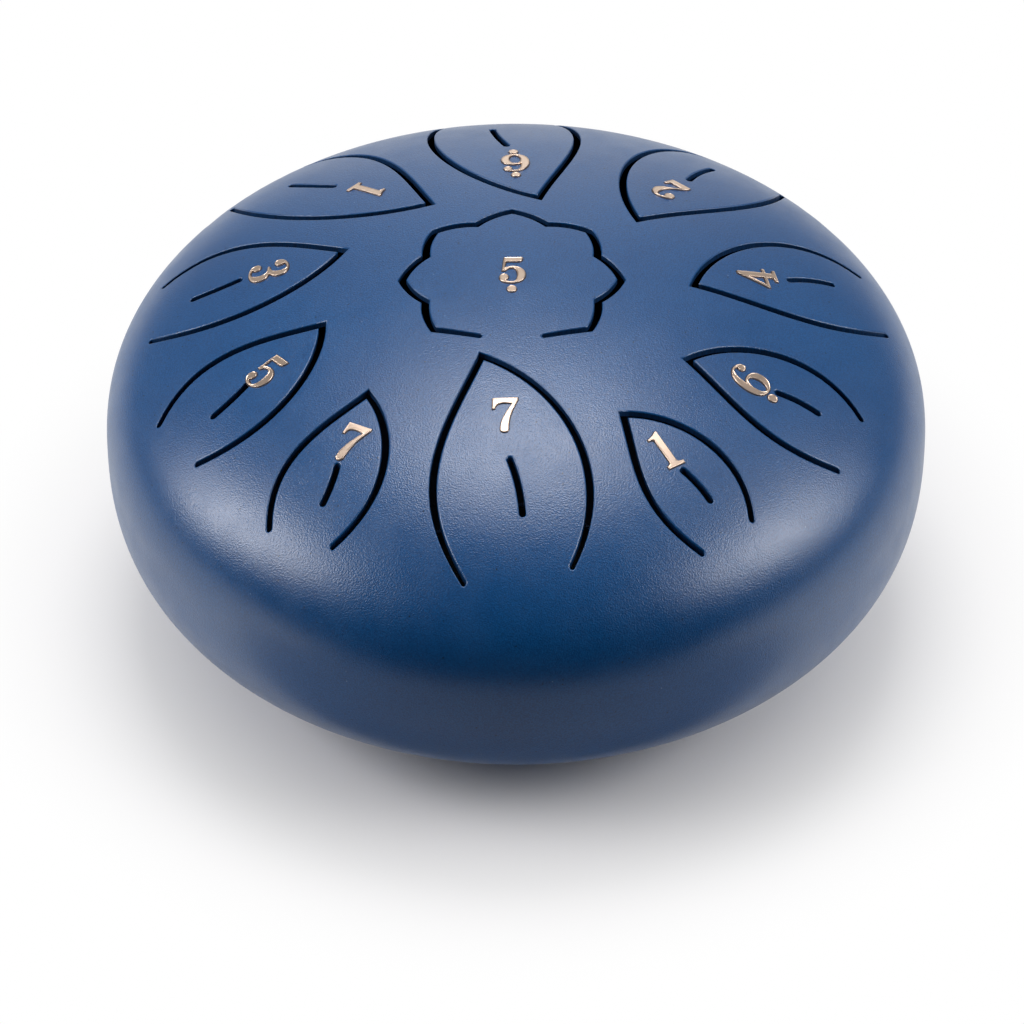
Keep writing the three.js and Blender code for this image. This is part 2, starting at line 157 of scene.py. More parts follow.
# Serif numerals on a grid 100 high and centred on x = 0: two numbers end a line, six end a Bezier curve
GLYPH_GRID = 100
GLYPHS = {
    "1": [[(-23, 0), (23, 0), (23, 8), (12, 9, 7, 10, 7, 19), (7, 100), (2, 100),
           (-5, 94, -14, 90, -26, 88), (-26, 83), (-16, 83, -12, 83, -12, 75), (-12, 19),
           (-12, 10, -16, 9, -23, 8)]],
    "2": [[(-35, 78), (-35, 91, -20, 100, -2, 100), (17, 100, 29, 89, 29, 73),
           (29, 57, 12, 48, 0, 38), (-6, 33, -10, 27, -12, 19), (-6, 18, 2, 18, 10, 18),
           (18, 17, 24, 20, 27, 30), (33, 30), (33, 20, 32, 10, 30, 0), (-28, 0), (-28, 8),
           (-20, 30, 9, 45, 9, 73), (9, 87, 4, 95, -4, 95), (-10, 95, -15, 93, -18, 89),
           (-13, 87, -10, 83, -10, 78), (-10, 70, -15, 66, -22, 66), (-30, 66, -35, 71, -35, 78)]],
    "3": [[(-37, 75), (-37, 90, -20, 100, 0, 100), (18, 100, 29, 90, 29, 77),
           (29, 65, 22, 57, 14, 52), (28, 48, 37, 40, 37, 27), (37, 11, 21, 0, 0, 0),
           (-20, 0, -33, 7, -33, 19), (-33, 26, -28, 30, -21, 30), (-14, 30, -9, 25, -9, 19),
           (-9, 14, -12, 11, -16, 9), (-11, 6, -6, 5, -2, 5), (10, 5, 15, 14, 15, 27),
           (15, 40, 8, 47, -6, 47), (-13, 47), (-17, 47, -17, 53, -13, 53), (-4, 54, 9, 58, 9, 77),
           (9, 90, 4, 95, -2, 95), (-10, 95, -16, 92, -20, 87), (-16, 85, -13, 81, -13, 76),
           (-13, 69, -18, 64, -25, 64), (-32, 64, -37, 69, -37, 75)]],
    "4": [[(11, 100), (-36, 33), (-36, 26), (3, 26), (3, 15), (3, 9, -2, 8, -10, 7), (-10, 0),
           (34, 0), (34, 7), (26, 8, 21, 9, 21, 15), (21, 26), (36, 26), (36, 34), (21, 34), (21, 100)],
          [(-24, 34), (3, 34), (3, 73)]],
    "5": [[(-22, 100), (24, 100), (24, 90, 22, 82, 10, 82), (-18, 82), (-20, 58),
           (-14, 62, -7, 64, 0, 64), (18, 64, 31, 52, 31, 33), (31, 13, 16, 0, -4, 0),
           (-22, 0, -33, 9, -33, 22), (-33, 30, -28, 35, -22, 35), (-16, 35, -11, 30, -11, 24),
           (-11, 18, -14, 15, -18, 12), (-14, 7, -9, 5, -4, 5), (6, 5, 11, 15, 11, 33),
           (11, 48, 6, 57, -3, 57), (-9, 57, -14, 54, -19, 46), (-27, 46)]],
    "6": [[(34, 34), (34, 52, 22, 62, 6, 62), (-3, 62, -11, 59, -15, 53),
           (-15, 74, -9, 95, 6, 95), (9, 95, 12, 94, 14, 91), (11, 89, 10, 86, 10, 83),
           (10, 78, 14, 74, 20, 74), (26, 74, 31, 78, 31, 84), (31, 93, 20, 100, 6, 100),
           (-18, 100, -36, 75, -36, 42), (-36, 16, -22, 0, 0, 0), (20, 0, 34, 15, 34, 34)],
          [(14, 31), (14, 43, 8, 55, 0, 55), (-9, 55, -15, 43, -15, 31), (-15, 17, -9, 6, 0, 6),
           (8, 6, 14, 17, 14, 31)]],
    "7": [[(-33, 100), (28, 100), (28, 93), (18, 72, 4, 48, 2, 8), (2, -3, -18, -3, -18, 8),
           (-18, 34, -2, 58, 13, 82), (-2, 85, -26, 90, -29, 68), (-35, 68)]],
}

# Rubber feet: flat sole, rounded edge, flared side
FOOT_BASE_RADIUS = 6
FOOT_TOP_RADIUS = 7.5
FOOT_EDGE = 0.8
FOOT_FLARE_HEIGHT = 3.5

# Meshing
TURN_STEPS = 288
BAND_STEPS = 28
BOWL_STEPS = 64
HEM_STEPS = 8
WELD_STEPS = 1200
BEAD_STEPS = 8
FOOT_STEPS = 48
FOOT_EDGE_STEPS = 5
FOOT_FLARE_STEPS = 7
JOIN_RADIUS = 74
SHEET_SPACING = 1.6
ARM_SPACING = 1.6
LINE_SPACING = 1.1
ROOT_BOW = 0.07
LOBE_STEPS = 8
CAP_STEPS = 12
EDGE_STEPS = 5
METAL_SPACING = 0.085
GLYPH_SPACING = 0.07
LEAST_CURVE_STEPS = 4

# Rings of points in a numeral's rim and dish, as shares of their widths
RIM_SHARES = np.array([0.25, 0.55, 1])
DISH_SHARES = np.array([0.33, 0.67, 1])

# A ring's point stays if every loop is at least this share of the ring's distance away, and a lattice point
# if it lies at least this share of the spacing beyond the last ring
RING_CLEARANCE = 0.97
LATTICE_CLEARANCE = 0.6

# Margin at the ends of a section, where its slope has no value, and the distance within which two points are
# the same
SECTION_MARGIN = 1e-5
SAME_POINT = 1e-6

# Looks of a sheet: paint outside, dark steel inside, and thin paint on the walls of a cut
PAINTED, INSIDE, CUT = 0, 1, 2

# Look of the dark line round a numeral, which is painted contact shadow
LINE = 1


# Shells in section and in plan

def section(t, rise, flank, crown):
    """Radius, height and normal (out, up) of a shell's outer face, at angles from the widest line."""
    t = np.clip(t, SECTION_MARGIN, math.pi / 2 - SECTION_MARGIN)
    cos, sin = np.cos(t), np.sin(t)
    radius, height = DRUM_RADIUS * cos**flank, rise * sin**crown
    towards_axis = flank * DRUM_RADIUS * cos ** (flank - 1) * sin
    upwards = crown * rise * sin ** (crown - 1) * cos
    length = np.hypot(towards_axis, upwards)
    return radius, height, upwards / length, towards_axis / length


def angle_at_height(height, rise, crown):
    return math.asin((height / rise) ** (1 / crown))


def angle_at_radius(radius, flank):
    return np.arccos(np.clip(radius / DRUM_RADIUS, 0, 1) ** (1 / flank))


def dome(plan):
    """Heights above the widest line and outward normals of the dome's outer face at points in plan."""
    t = angle_at_radius(np.abs(plan), DOME_FLANK)
    _, height, out, up = section(t, DOME_RISE, DOME_FLANK, DOME_CROWN)
    way = plan / np.maximum(np.abs(plan), SAME_POINT)
    return height, np.stack([out * way.real, out * way.imag, up], axis=1)


def bowl_height(plan):
    """Height above the table of the bowl's outer face."""
    t = angle_at_radius(np.abs(plan), BOWL_FLANK)
    return EQUATOR_Z - section(t, BOWL_DROP, BOWL_FLANK, BOWL_CROWN)[1]


def points_at(plan, height):
    """Points in space from plan and height above the widest line."""
    return np.stack([plan.real, plan.imag, EQUATOR_Z + height + 0 * plan.real], axis=1)


def level(ways):
    """Unit vectors in space from ways in plan."""
    unit = ways / np.abs(ways)
    return np.stack([unit.real, unit.imag, 0 * unit.real], axis=1)


def unit(vectors):
    return vectors / np.linalg.norm(vectors, axis=1, keepdims=True)


# Lines in plan

def lefts(line, closed=False, first=None, last=None):
    """The way to the left of each point of a line, longer at corners, so that an offset stays parallel. An
    open line's end takes the heading that is given for it."""
    if closed:
        arriving, leaving = line - np.roll(line, 1), np.roll(line, -1) - line
    else:
        way = np.diff(line)
        arriving = np.concatenate([way[:1] if first is None else [first], way])
        leaving = np.concatenate([way, way[-1:] if last is None else [last]])
        leaving[0] = arriving[0] if first is not None else leaving[0]
        arriving[-1] = leaving[-1] if last is not None else arriving[-1]
    n1, n2 = 1j * arriving / np.abs(arriving), 1j * leaving / np.abs(leaving)
    return (n1 + n2) / (1 + (n1 * n2.conj()).real)


def bezier(corners, steps, until=1):
    t = np.linspace(0, until, steps + 1)
    p0, p1, p2, p3 = corners
    return (1 - t) ** 3 * p0 + 3 * (1 - t) ** 2 * t * p1 + 3 * (1 - t) * t**2 * p2 + t**3 * p3


def straight(start, end, spacing):
    """Points from start up to, but not with, the end."""
    steps = max(1, math.ceil(abs(end - start) / spacing))
    return start + (end - start) * np.arange(steps) / steps


def end_cap(centre, heading, radius):
    """Half a circle about a slot's end, counter-clockwise from the right of its heading to the left."""
    angle = np.angle(heading) - math.pi / 2 + math.pi * np.arange(1, CAP_STEPS) / CAP_STEPS
    return centre + radius * np.exp(1j * angle)


class Edge:
    """A cut edge in plan, with the sheet on its left, and the line where the paint's rounding starts."""

    def __init__(self, path, closed=False, first=None, last=None):
        self.path = path
        self.closed = closed
        self.left = lefts(path, closed, first, last)
        self.top = path + EDGE_WIDTH * self.left


class Slot:
    """A slot runs counter-clockwise round its tongue, from one side of the neck to the other. The shell's
    edge follows its outside and round ends, the tongue's edge its inside, and both meet at the root line,
    which bows into the tongue to stay clear of the round ends."""

    def __init__(self, line, half_kerf):
        start, end = line[1] - line[0], line[-1] - line[-2]
        run = np.concatenate([[0], np.cumsum(np.abs(np.diff(line)))])
        from_end = np.minimum(run, run[-1] - run)
        half = np.interp(from_end, [0, TAPER_LENGTH], [END_HALF_KERF, half_kerf])
        inner, outer = line + half * lefts(line), line - half * lefts(line)
        rim = np.concatenate([
            inner[:1], end_cap(line[0], -start, END_HALF_KERF), outer,
            end_cap(line[-1], end, END_HALF_KERF), inner[-1:],
        ])
        self.shell_edge = Edge(rim[::-1], first=end, last=start)
        self.tongue_edge = Edge(inner, first=start, last=end)
        first, last = self.tongue_edge.top[[0, -1]]
        share = np.linspace(0, 1, 2 + round(abs(last - first) / LINE_SPACING))
        self.root = first + (last - first) * (share - 4j * ROOT_BOW * share * (1 - share))

    def shell_loop(self):
        return np.concatenate([self.shell_edge.top, self.root[1:-1]])

    def tongue_loop(self):
        return np.concatenate([self.tongue_edge.top, self.root[-2:0:-1]])


class TongueFrame:
    """A tongue in plan: its origin, its reach and the way out towards its root."""

    def __init__(self, origin, angle, reach):
        self.origin, self.along, self.reach = origin, np.exp(1j * angle), reach

    def place(self, share):
        return self.origin + self.along * self.reach * share


def leaf_frame(leaf):
    band = DRUM_RADIUS - LOBE_TIP_RADIUS
    tip_radius = LOBE_TIP_RADIUS + band * (1 - leaf["length"]) * leaf["inner"]
    angle = math.radians(leaf["angle"])
    tip = tip_radius * np.exp(1j * angle)
    return TongueFrame(tip, angle + math.radians(leaf["lean"]), band * leaf["length"])


def leaf_slot(leaf, tongue):
    steps = round(tongue.reach / ARM_SPACING)
    left = bezier(LEAF_LEFT, steps)[::-1]
    right = bezier(LEAF_RIGHT, steps, leaf["right"])[1:]
    return Slot(tongue.place(np.concatenate([left, right])), LEAF_HALF_KERF)


def leaf_slit(tongue):
    """The short, slightly bowed slit on a leaf's midline, clockwise, so that the leaf is on its left."""
    start, end = tongue.place(SLIT_START), tongue.place(SLIT_END)
    share = np.linspace(0, 1, 1 + math.ceil(abs(end - start) / LINE_SPACING))
    line = start + (end - start) * (share + 4j * SLIT_BOW * share * (1 - share))
    side = SLIT_HALF_KERF * lefts(line)
    outline = np.concatenate([
        line - side, end_cap(end, line[-1] - line[-2], SLIT_HALF_KERF),
        (line + side)[::-1], end_cap(start, line[0] - line[1], SLIT_HALF_KERF),
    ])
    return Edge(outline[::-1], closed=True)


def flower_slot(tongue):
    """Half lobes that bulge from each valley out to its tip, all but the lobe at the neck. The two arms
    beside the neck run straight from their tips to a step past their valleys."""
    steps = 2 * LOBE_COUNT * LOBE_STEPS
    half_lobes = np.arange(LOBE_STEPS - 1, steps - LOBE_STEPS + 2) / LOBE_STEPS
    from_valley = np.abs(half_lobes % 2 - 1)
    share = from_valley + LOBE_BULGE * from_valley * (1 - from_valley)
    radius = LOBE_VALLEY_RADIUS + (LOBE_TIP_RADIUS - LOBE_VALLEY_RADIUS) * share
    line = radius * np.exp(1j * math.pi * half_lobes / LOBE_COUNT)
    arm = LOBE_STEPS + 2
    line[:arm] = np.linspace(line[0], line[arm - 1], arm)
    line[-arm:] = np.linspace(line[-arm], line[-1], arm)
    return Slot(tongue.place(line / tongue.reach), FLOWER_HALF_KERF)


# Triangles over a region in plan

def inside(points, loop):
    hits = np.zeros(len(points), bool)
    for a, b in zip(loop, np.roll(loop, -1)):
        spans = (a.imag > points.imag) != (b.imag > points.imag)
        rise = b.imag - a.imag
        crossing = a.real + (points.imag - a.imag) * (b.real - a.real) / (rise if rise else 1)
        hits ^= spans & (points.real < crossing)
    return hits


def nearest(points, loops):
    """Each point's distance from the loops, and the way to it from the nearest place on them."""
    best = np.full(len(points), np.inf)
    offset = np.zeros(len(points), complex)
    for loop in loops:
        for a, b in zip(loop, np.roll(loop, -1)):
            along = b - a
            share = np.clip(((points - a) * along.conjugate()).real / abs(along) ** 2, 0, 1)
            away = points - a - share * along
            closer = np.abs(away) < best
            best[closer] = np.abs(away[closer])
            offset[closer] = away[closer]
    return best, offset


def in_region(points, loops):
    """Inside the first loop and outside the others."""
    found = inside(points, loops[0])
    for hole in loops[1:]:
        found &= ~inside(points, hole)
    return found


def triangulate(loops, spacing, rings=()):
    """The loops' points, rings inside them at the given distances and a lattice between, with triangles."""
    edge = np.concatenate(loops)
    left = np.concatenate([lefts(loop, closed=True) for loop in loops])
    points = [edge]
    for distance in rings:
        ring = edge + distance * left
        ring = ring[in_region(ring, loops)]
        points.append(ring[nearest(ring, loops)[0] > RING_CLEARANCE * distance])
    x = np.arange(edge.real.min(), edge.real.max(), spacing)
    y = np.arange(edge.imag.min(), edge.imag.max(), spacing * math.sqrt(3) / 2)
    rows = x[None, :] + spacing / 2 * (np.arange(len(y))[:, None] % 2) + 1j * y[:, None]
    lattice = rows.ravel()
    lattice = lattice[in_region(lattice, loops)]
    clear = max((0, *rings)) + LATTICE_CLEARANCE * spacing
    points.append(lattice[nearest(lattice, loops)[0] > clear])
    points = np.concatenate(points)
    sides, first = [], 0
    for loop in loops:
        numbers = np.arange(first, first + len(loop))
        sides += np.stack([numbers, np.roll(numbers, -1)], axis=1).tolist()
        first += len(loop)
    flat = [(p.real, p.imag) for p in points]
    _, _, faces, sources, _, _ = delaunay_2d_cdt(flat, sides, [], 0, SAME_POINT)
    triangles = np.array([source[0] for source in sources])[np.array(faces)]
    return points, triangles[in_region(points[triangles].mean(axis=1), loops)]


# Meshes

class Gather:
    """Points with their normals, and faces, gathered for one piece."""

    def __init__(self):
        self.points, self.normals, self.faces, self.looks = [], [], [], []
        self.count = 0

    def add(self, points, normals):
        """Adds points and returns their numbers."""
        self.points.append(points)
        self.normals.append(normals)
        self.count += len(points)
        return np.arange(self.count - len(points), self.count)

    def cover(self, faces, look=PAINTED):
        self.faces += faces.tolist()
        self.looks += [look] * len(faces)

    def strips(self, rows, look=PAINTED, closed=False):
        """Quads between rows of points. From outside, a row runs to the right, the next one below it."""
        for upper, lower in zip(rows, rows[1:]):
            if closed:
                upper, lower = np.append(upper, upper[0]), np.append(lower, lower[0])
            self.cover(np.stack([upper[:-1], lower[:-1], lower[1:], upper[1:]], axis=1), look)

    def turn(self, profile, look=PAINTED, steps=TURN_STEPS):
        """A turned surface from rows of (radius, height above the table, out, up)."""
        way = np.exp(2j * math.pi * np.arange(steps) / steps)
        rows = []
        for radius, height, out, up in profile:
            points = np.stack([(radius * way).real, (radius * way).imag, np.full(steps, height)], axis=1)
            normals = np.stack([(out * way).real, (out * way).imag, np.full(steps, up)], axis=1)
            rows.append(self.add(points, normals))
        self.strips(rows, look, closed=True)

    def piece(self, name, *materials):
        mesh = bpy.data.meshes.new(name)
        mesh.from_pydata((np.concatenate(self.points) * MM).tolist(), [], self.faces)
        mesh.polygons.foreach_set("use_smooth", [True] * len(self.faces))
        mesh.polygons.foreach_set("material_index", self.looks)
        mesh.normals_split_custom_set_from_vertices(unit(np.concatenate(self.normals)).tolist())
        for material in materials:
            mesh.materials.append(material)
        made = bpy.data.objects.new(name, mesh)
        bpy.context.scene.collection.objects.link(made)
        return made


def add_edge(gather, edge, top, bottom):
    """The rounded paint, the cut's wall and the underside's margin, from top to underside."""
    rows = [top]
    facing = -level(edge.left)
    for theta in np.linspace(0, math.pi / 2, EDGE_STEPS + 1)[1:]:
        plan = edge.path + edge.left * EDGE_WIDTH * (1 - math.sin(theta))
        height, normal = dome(plan)
        points = points_at(plan, height - EDGE_DEPTH * (1 - math.cos(theta)))
        rows.append(gather.add(points, unit(math.cos(theta) * normal + math.sin(theta) * facing)))
    height, normal = dome(edge.path)
    foot = points_at(edge.path, height - WALL / normal[:, 2])
    gather.strips(rows, PAINTED, edge.closed)
    gather.strips([rows[-1], gather.add(foot, facing)], CUT, edge.closed)
    gather.strips([gather.add(foot, -normal), bottom], INSIDE, edge.closed)


def add_sheet(gather, loops, edges):
    """The dome's sheet over a plan region. A loop with a cut edge starts with the points of that edge."""
    plan, triangles = triangulate(loops, SHEET_SPACING)
    height, normal = dome(plan)
    top = gather.add(points_at(plan, height), normal)
    gather.cover(top[triangles])
    bottom = gather.add(points_at(plan, height - WALL / normal[:, 2]), -normal)
    gather.cover(bottom[triangles[:, ::-1]], INSIDE)
    first = 0
    for loop, edge in zip(loops, edges):
        if edge:
            numbers = np.arange(first, first + len(edge.path))
            add_edge(gather, edge, top[numbers], bottom[numbers])
        first += len(loop)


def shell_profile(angles, rise, flank, crown, side, depth):
    """Rows of a shell's outer face, or inner face at a depth, on the dome's side (1) or the bowl's (-1)."""
    radius, height, out, up = section(angles, rise, flank, crown)
    facing = -1 if depth else 1
    return [
        (r - depth * o, EQUATOR_Z + side * (h - depth * u), facing * o, facing * side * u)
        for r, h, o, u in zip(radius, height, out, up)
    ]


# Materials

def start_material(name, **inputs):
    """A new material with plain sockets set. Returns it, its tree, its shader and its coordinates."""
    material = bpy.data.materials.new(name)
    material.use_nodes = True
    tree = material.node_tree
    shader = tree.nodes["Principled BSDF"]
    for socket, value in inputs.items():
        shader.inputs[socket.replace("_", " ")].default_value = value
    coordinates = tree.nodes.new("ShaderNodeTexCoord").outputs["Object"]
    return material, tree, shader, coordinates


def add_node(tree, kind, links=None, **settings):
    """A node with its settings, its sockets linked to outputs or set to values."""
    node = tree.nodes.new(kind)
    for name, value in settings.items():
        setattr(node, name, value)
    for socket, value in (links or {}).items():
        if isinstance(value, bpy.types.NodeSocket):
            tree.links.new(value, node.inputs[socket])
        else:
            node.inputs[socket].default_value = value
    return node


def noise(tree, coordinates, size, detail, roughness=0.5):
    """Noise whose features are about so many millimetres across."""
    node = add_node(tree, "ShaderNodeTexNoise", {
        "Vector": coordinates, "Scale": 1 / (size * MM), "Detail": detail, "Roughness": roughness,
    })
    return node.outputs["Fac"]


def math_node(tree, operation, a, b):
    return add_node(tree, "ShaderNodeMath", {0: a, 1: b}, operation=operation).outputs[0]


def stretch(tree, vector, factors):
    """A vector with each of its parts multiplied."""
    return add_node(tree, "ShaderNodeVectorMath", {0: vector, 1: factors}, operation="MULTIPLY").outputs[0]


def length_of(tree, vector):
    return add_node(tree, "ShaderNodeVectorMath", {0: vector}, operation="LENGTH").outputs["Value"]


def remap(tree, value, low, high, to_low=0.0, to_high=1.0, kind="LINEAR"):
    """A value's range stretched onto another and held at its ends, which a smooth step makes soft."""
    node = add_node(tree, "ShaderNodeMapRange", {
        "Value": value, "From Min": low, "From Max": high, "To Min": to_low, "To Max": to_high,
    }, interpolation_type=kind)
    return node.outputs["Result"]


def blend_colours(tree, factor, a, b):
    """Colour a at a factor of 0, b at 1. The Mix node's sockets for colours have numbers."""
    return add_node(tree, "ShaderNodeMix", {"Factor": factor, 6: a, 7: b}, data_type="RGBA").outputs[2]


def two_tone(tree, shader, pattern, colours, roughness):
    """Base colour and roughness, each between two values that follow one pattern."""
    tree.links.new(blend_colours(tree, pattern, *colours), shader.inputs["Base Color"])
    tree.links.new(remap(tree, pattern, 0.0, 1.0, *roughness), shader.inputs["Roughness"])


def specks(tree, coordinates, cell, radius, share):
    """1 on small round specks, one in a share of the cells, and 0 elsewhere."""
    cells = add_node(tree, "ShaderNodeTexVoronoi", {"Vector": coordinates, "Scale": 1 / (cell * MM)})
    near = remap(tree, cells.outputs["Distance"], 0.5 * radius / cell, radius / cell, 1.0, 0.0)
    random = add_node(tree, "ShaderNodeSeparateColor", {"Color": cells.outputs["Color"]}).outputs["Red"]
    return math_node(tree, "MULTIPLY", near, math_node(tree, "LESS_THAN", random, share))


def bump(tree, shader, height, depth):
    """Relief of a depth in millimetres for heights from 0 to 1."""
    node = add_node(tree, "ShaderNodeBump", {"Height": height, "Strength": 1.0, "Distance": depth * MM})
    tree.links.new(node.outputs["Normal"], shader.inputs["Normal"])


def navy_paint():
    """Fine-grained satin paint with a few dark pits."""
    material, tree, shader, place = start_material("navy_paint", Specular_IOR_Level=0.92)
    pits = specks(tree, place, 1.2, 0.2, 0.08)
    bump(tree, shader, noise(tree, place, 0.27, 0.0), 0.042)
    cloud = remap(tree, noise(tree, place, 24, 3.0), 0.3, 0.7)
    paint = blend_colours(tree, cloud, (0.0018, 0.0725, 0.226, 1), (0.0026, 0.084, 0.254, 1))
    grain = remap(tree, noise(tree, place, 0.28, 1.0), 0.35, 0.65, 0.6, 0.0)
    grained = blend_colours(tree, grain, paint, (0.0006, 0.026, 0.1, 1))
    pitted = blend_colours(tree, pits, grained, (0.001, 0.006, 0.016, 1))
    dusted = blend_colours(tree, specks(tree, place, 2.2, 0.17, 0.05), pitted, (0.12, 0.2, 0.34, 1))
    tree.links.new(dusted, shader.inputs["Base Color"])
    gloss = remap(tree, noise(tree, place, 6, 2.0), 0.3, 0.7, 0.31, 0.37)
    tree.links.new(gloss, shader.inputs["Roughness"])
    return material


def cut_paint():
    """Thin, dull paint on a cut, with the cut's streaks."""
    material, tree, shader, place = start_material("cut_paint", Specular_IOR_Level=0.4)
    streaks = noise(tree, stretch(tree, place, (1, 1, 0.2)), 0.3, 2.0)
    thin = remap(tree, streaks, 0.35, 0.7)
    two_tone(tree, shader, thin, [(0.001, 0.035, 0.12, 1), (0.0008, 0.016, 0.05, 1)], (0.5, 0.65))
    bump(tree, shader, streaks, 0.015)
    return material


def scaled_steel():
    """Steel dark with mill scale, and with some blue paint that came in through the slots."""
    material, tree, shader, place = start_material("scaled_steel", Metallic=0.3, Specular_IOR_Level=0.2)
    mottle = remap(tree, noise(tree, place, 5, 4.0, 0.6), 0.35, 0.7)
    two_tone(tree, shader, mottle, [(0.002, 0.005, 0.016, 1), (0.007, 0.011, 0.028, 1)], (0.6, 0.75))
    bump(tree, shader, noise(tree, place, 0.5, 2.0), 0.01)
    return material


def champagne_metal():
    """Satin metal between silver and rose gold, with a faint tarnish."""
    material, tree, shader, place = start_material("champagne_metal", Metallic=0.95)
    tarnish = remap(tree, noise(tree, place, 1.4, 3.0), 0.3, 0.75)
    two_tone(tree, shader, tarnish, [(0.86, 0.68, 0.54, 1), (0.77, 0.58, 0.44, 1)], (0.29, 0.35))
    bump(tree, shader, noise(tree, place, 1.2, 0.0), 0.003)
    return material


def painted_contact_shadow():
    """Painted contact shadow, brown, in the corner between metal and paint."""
    material, tree, shader, place = start_material("painted_contact_shadow", Specular_IOR_Level=0.3)
    spread = remap(tree, noise(tree, place, 0.8, 2.0), 0.3, 0.7)
    two_tone(tree, shader, spread, [(0.03, 0.018, 0.016, 1), (0.07, 0.045, 0.04, 1)], (0.5, 0.65))
    bump(tree, shader, noise(tree, place, 0.2, 2.0), 0.008)
    return material


def black_rubber():
    """Moulded rubber with a little dust."""
    material, tree, shader, place = start_material("black_rubber", Specular_IOR_Level=0.4)
    dust = remap(tree, noise(tree, place, 2.5, 4.0, 0.6), 0.4, 0.75)
    two_tone(tree, shader, dust, [(0.012, 0.012, 0.013, 1), (0.03, 0.03, 0.031, 1)], (0.55, 0.75))
    bump(tree, shader, noise(tree, place, 0.25, 2.0), 0.02)
    return material


SHEET = navy_paint(), scaled_steel(), cut_paint()
CHAMPAGNE, CONTACT_SHADOW, RUBBER = champagne_metal(), painted_contact_shadow(), black_rubber()


# Shell and tongue pieces

def finish_piece(gather, name, slot, node, *materials):
    made = gather.piece(name, *materials)
    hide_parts(node)
    return made


def make_dome(slots):
    gather = Gather()
    turn = np.exp(2j * math.pi * np.arange(TURN_STEPS) / TURN_STEPS)
    add_sheet(gather, [JOIN_RADIUS * turn, *(slot.shell_loop() for slot in slots)],
              [None, *(slot.shell_edge for slot in slots)])
    join = float(angle_at_radius(JOIN_RADIUS, DOME_FLANK))
    angles = np.linspace(join, angle_at_height(WELD_HALF_HEIGHT, DOME_RISE, DOME_CROWN), BAND_STEPS)
    gather.turn(shell_profile(angles, DOME_RISE, DOME_FLANK, DOME_CROWN, 1, 0))
    gather.turn(shell_profile(angles[::-1], DOME_RISE, DOME_FLANK, DOME_CROWN, 1, WALL), INSIDE)
    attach(finish_piece(gather, "dome_sheet", "navy_paint", "upper_shell", *SHEET), STEM)


def make_bowl():
    gather = Gather()
    top = angle_at_height(WELD_HALF_HEIGHT, BOWL_DROP, BOWL_CROWN)
    hole = float(angle_at_radius(SOUND_HOLE_RADIUS + WALL / 2, BOWL_FLANK))
    angles = np.linspace(top, hole, BOWL_STEPS)
    outer = shell_profile(angles, BOWL_DROP, BOWL_FLANK, BOWL_CROWN, -1, 0)
    inner = shell_profile(angles[::-1], BOWL_DROP, BOWL_FLANK, BOWL_CROWN, -1, WALL)
    radius, height = (outer[-1][0] + inner[0][0]) / 2, (outer[-1][1] + inner[0][1]) / 2
    hem = []
    for a in np.linspace(-math.pi / 2, -3 * math.pi / 2, HEM_STEPS + 1)[1:-1]:
        out, up = math.cos(a), math.sin(a)
        hem.append((radius + WALL / 2 * out, height + WALL / 2 * up, out, up))
    gather.turn(outer)
    gather.turn([outer[-1], *hem, inner[0]], CUT)
    gather.turn(inner, INSIDE)
    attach(finish_piece(gather, "bowl_sheet", "navy_paint", "lower_shell", *SHEET), STEM)


def make_weld():
    """Flush and painted outside, a rippled bead inside."""
    gather = Gather()
    half = WELD_HALF_HEIGHT
    upper = section(angle_at_height(half, DOME_RISE, DOME_CROWN), DOME_RISE, DOME_FLANK, DOME_CROWN)
    lower = section(angle_at_height(half, BOWL_DROP, BOWL_CROWN), BOWL_DROP, BOWL_FLANK, BOWL_CROWN)
    gather.turn([
        (float(upper[0]), EQUATOR_Z + half, float(upper[2]), float(upper[3])),
        (DRUM_RADIUS, EQUATOR_Z, 1, 0),
        (float(lower[0]), EQUATOR_Z - half, float(lower[2]), -float(lower[3])),
    ])
    turn = 2 * math.pi * np.arange(WELD_STEPS) / WELD_STEPS
    ripple = 1 - WELD_RIPPLE_SHARE + WELD_RIPPLE_SHARE * np.cos(WELD_RIPPLES * turn)
    rows = []
    for a in np.linspace(-math.pi / 2, math.pi / 2, BEAD_STEPS + 1):
        radius = DRUM_RADIUS - WALL - WELD_ROOT * math.cos(a) * ripple
        plan = radius * np.exp(1j * turn)
        points = points_at(plan, half * math.sin(a))
        rows.append(gather.add(points, math.cos(a) * -level(plan) + [0, 0, math.sin(a)]))
    gather.strips(rows, INSIDE, closed=True)
    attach(finish_piece(gather, "weld_ring", "navy_paint", "seam_weld", *SHEET), STEM)


def make_tongue(spec, slot, slits):
    """One sheet with the dome on the real drum, where it bends past the root line, which stays with the
    dome.
    Here it is a piece of its own, from the root line out.
    """
    gather = Gather()
    loops = [slot.tongue_loop(), *(slit.top for slit in slits)]
    add_sheet(gather, loops, [slot.tongue_edge, *slits])
    name = f"tongue_sheet_{spec['note']}"
    made = finish_piece(gather, name, "navy_paint", f"tongue_{spec['note']}", *SHEET)
    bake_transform(made)


# Numerals and dots

def glyph_loop(steps):
    """A glyph's outline in the numeral's own millimetres, about its centre."""
    scale = NUMERAL_HEIGHT / GLYPH_GRID
    spacing = GLYPH_SPACING / scale
    at = [[complex(*step[i:i + 2]) for i in range(0, len(step), 2)] for step in steps]
    points, here = [], at[0][0]
    for ends in [*at[1:], at[0]]:
        if len(ends) == 1:
            points.append(straight(here, ends[0], spacing))
        else:
            length = np.abs(np.diff([here, *ends])).sum()
            points.append(bezier((here, *ends), max(LEAST_CURVE_STEPS, round(length / spacing)))[:-1])
        here = ends[-1]
    line = np.concatenate(points)
    line = line[np.abs(np.roll(line, -1) - line) > SAME_POINT]
    return (line - 0.5j * GLYPH_GRID) * scale


